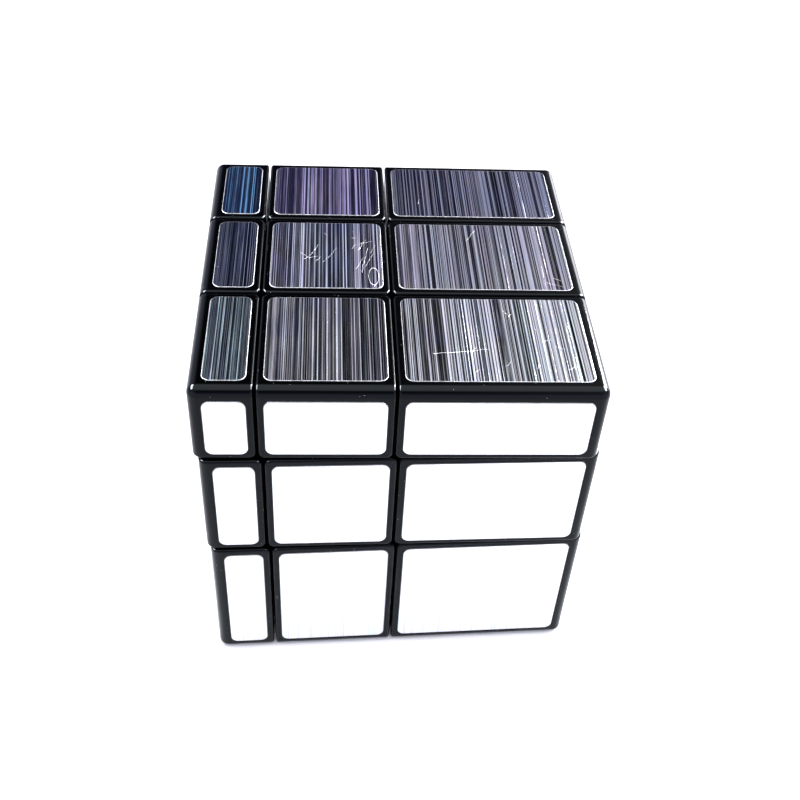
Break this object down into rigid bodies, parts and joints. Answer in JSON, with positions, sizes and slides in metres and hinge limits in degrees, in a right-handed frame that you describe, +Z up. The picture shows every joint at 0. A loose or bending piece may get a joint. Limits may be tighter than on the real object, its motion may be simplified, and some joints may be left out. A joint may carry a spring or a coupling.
{
  "type": "mirror block cube",
  "caption": "Twisting puzzle of black blocks in layers of unequal thickness, faced with brushed foil, on a sprung core.",
  "frame": {"origin": "the point where the turning axis of the top and bottom layers meets the surface that the cube stands on, on the foil of the bottom centre", "axes": "+Z up along that turning axis through the core; -Y out of the front face, square to the middle layer; +X towards the thickest layer, on the right"},
  "size_m": [0.0585, 0.0588, 0.0572],
  "materials": {
    "cover_plastic": "gloss",
    "base_plastic": "satin",
    "core_plastic": "satin",
    "mirror_foil": "satin",
    "screw_steel": "polished",
    "washer_steel": "polished",
    "spring_steel": "satin"
  },
  "bodies": {
    "middle_layer": {"back_centre_base": "base_plastic", "back_centre_cap": "cover_plastic", "back_left_edge_base": "base_plastic", "back_left_edge_cover": "cover_plastic", "back_right_edge_base": "base_plastic", "back_right_edge_cover": "cover_plastic", "core": "core_plastic", "core_screws": "screw_steel", "front_centre_base": "base_plastic", "front_centre_cap": "cover_plastic", "front_left_edge_base": "base_plastic", "front_left_edge_cover": "cover_plastic", "front_right_edge_base": "base_plastic", "front_right_edge_cover": "cover_plastic", "left_centre_base": "base_plastic", "left_centre_cap": "cover_plastic", "middle_layer_foil": "mirror_foil", "right_centre_base": "base_plastic", "right_centre_cap": "cover_plastic", "spring_washers": "washer_steel", "tension_springs": "spring_steel"},
    "top_layer": {"top_back_edge_base": "base_plastic", "top_back_edge_cover": "cover_plastic", "top_back_left_corner_base": "base_plastic", "top_back_left_corner_cover": "cover_plastic", "top_back_right_corner_base": "base_plastic", "top_back_right_corner_cover": "cover_plastic", "top_centre_base": "base_plastic", "top_centre_cap": "cover_plastic", "top_front_edge_base": "base_plastic", "top_front_edge_cover": "cover_plastic", "top_front_left_corner_base": "base_plastic", "top_front_left_corner_cover": "cover_plastic", "top_front_right_corner_base": "base_plastic", "top_front_right_corner_cover": "cover_plastic", "top_layer_foil": "mirror_foil", "top_left_edge_base": "base_plastic", "top_left_edge_cover": "cover_plastic", "top_right_edge_base": "base_plastic", "top_right_edge_cover": "cover_plastic"},
    "bottom_layer": {"bottom_back_edge_base": "base_plastic", "bottom_back_edge_cover": "cover_plastic", "bottom_back_left_corner_base": "base_plastic", "bottom_back_left_corner_cover": "cover_plastic", "bottom_back_right_corner_base": "base_plastic", "bottom_back_right_corner_cover": "cover_plastic", "bottom_centre_base": "base_plastic", "bottom_centre_cap": "cover_plastic", "bottom_face_foil": "mirror_foil", "bottom_front_edge_base": "base_plastic", "bottom_front_edge_cover": "cover_plastic", "bottom_front_left_corner_base": "base_plastic", "bottom_front_left_corner_cover": "cover_plastic", "bottom_front_right_corner_base": "base_plastic", "bottom_front_right_corner_cover": "cover_plastic", "bottom_layer_side_foil": "mirror_foil", "bottom_left_edge_base": "base_plastic", "bottom_left_edge_cover": "cover_plastic", "bottom_right_edge_base": "base_plastic", "bottom_right_edge_cover": "cover_plastic"}
  },
  "joints": [
    {"name": "top_layer_turn", "type": "hinge", "parent": "middle_layer", "child": "top_layer", "pos_m": [0, 0, 0.03462], "axis": [0, 0, 1], "continuous": true},
    {"name": "bottom_layer_turn", "type": "hinge", "parent": "middle_layer", "child": "bottom_layer", "pos_m": [0, 0, 0.03462], "axis": [0, 0, -1], "continuous": true}
  ]
}
